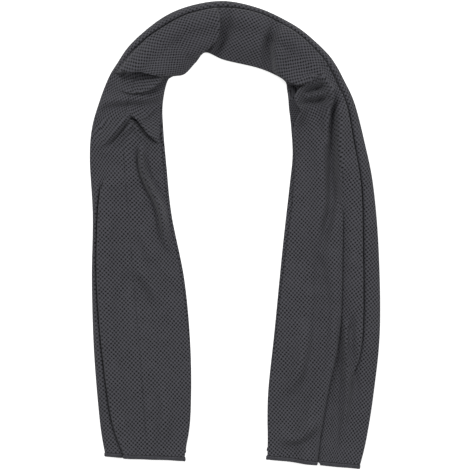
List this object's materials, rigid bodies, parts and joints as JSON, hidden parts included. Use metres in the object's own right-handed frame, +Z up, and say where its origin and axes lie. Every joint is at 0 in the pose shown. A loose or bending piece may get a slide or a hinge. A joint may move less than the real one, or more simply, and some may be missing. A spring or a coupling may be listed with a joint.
{
  "type": "cooling towel",
  "caption": "Long sheet of knitted mesh with a rolled hem across each end, folded lengthwise and laid in a U, for wetting and wearing round the neck.",
  "frame": {"origin": "on the surface that the towel lies on, at the middle of the laid towel's outline seen from above", "axes": "+Z up from the surface, +Y from the two ends to the bend, +X towards the right tail"},
  "size_m": [0.291, 0.4691, 0.0194],
  "materials": {
    "mesh_knit": "matte dark grey knitted polyester mesh with small open holes",
    "hem": "matte dark grey plain rolled hem"
  },
  "bodies": {
    "root": {"towel_cloth": "mesh_knit", "end_hem_left": "hem", "end_hem_right": "hem"}
  },
  "joints": []
}
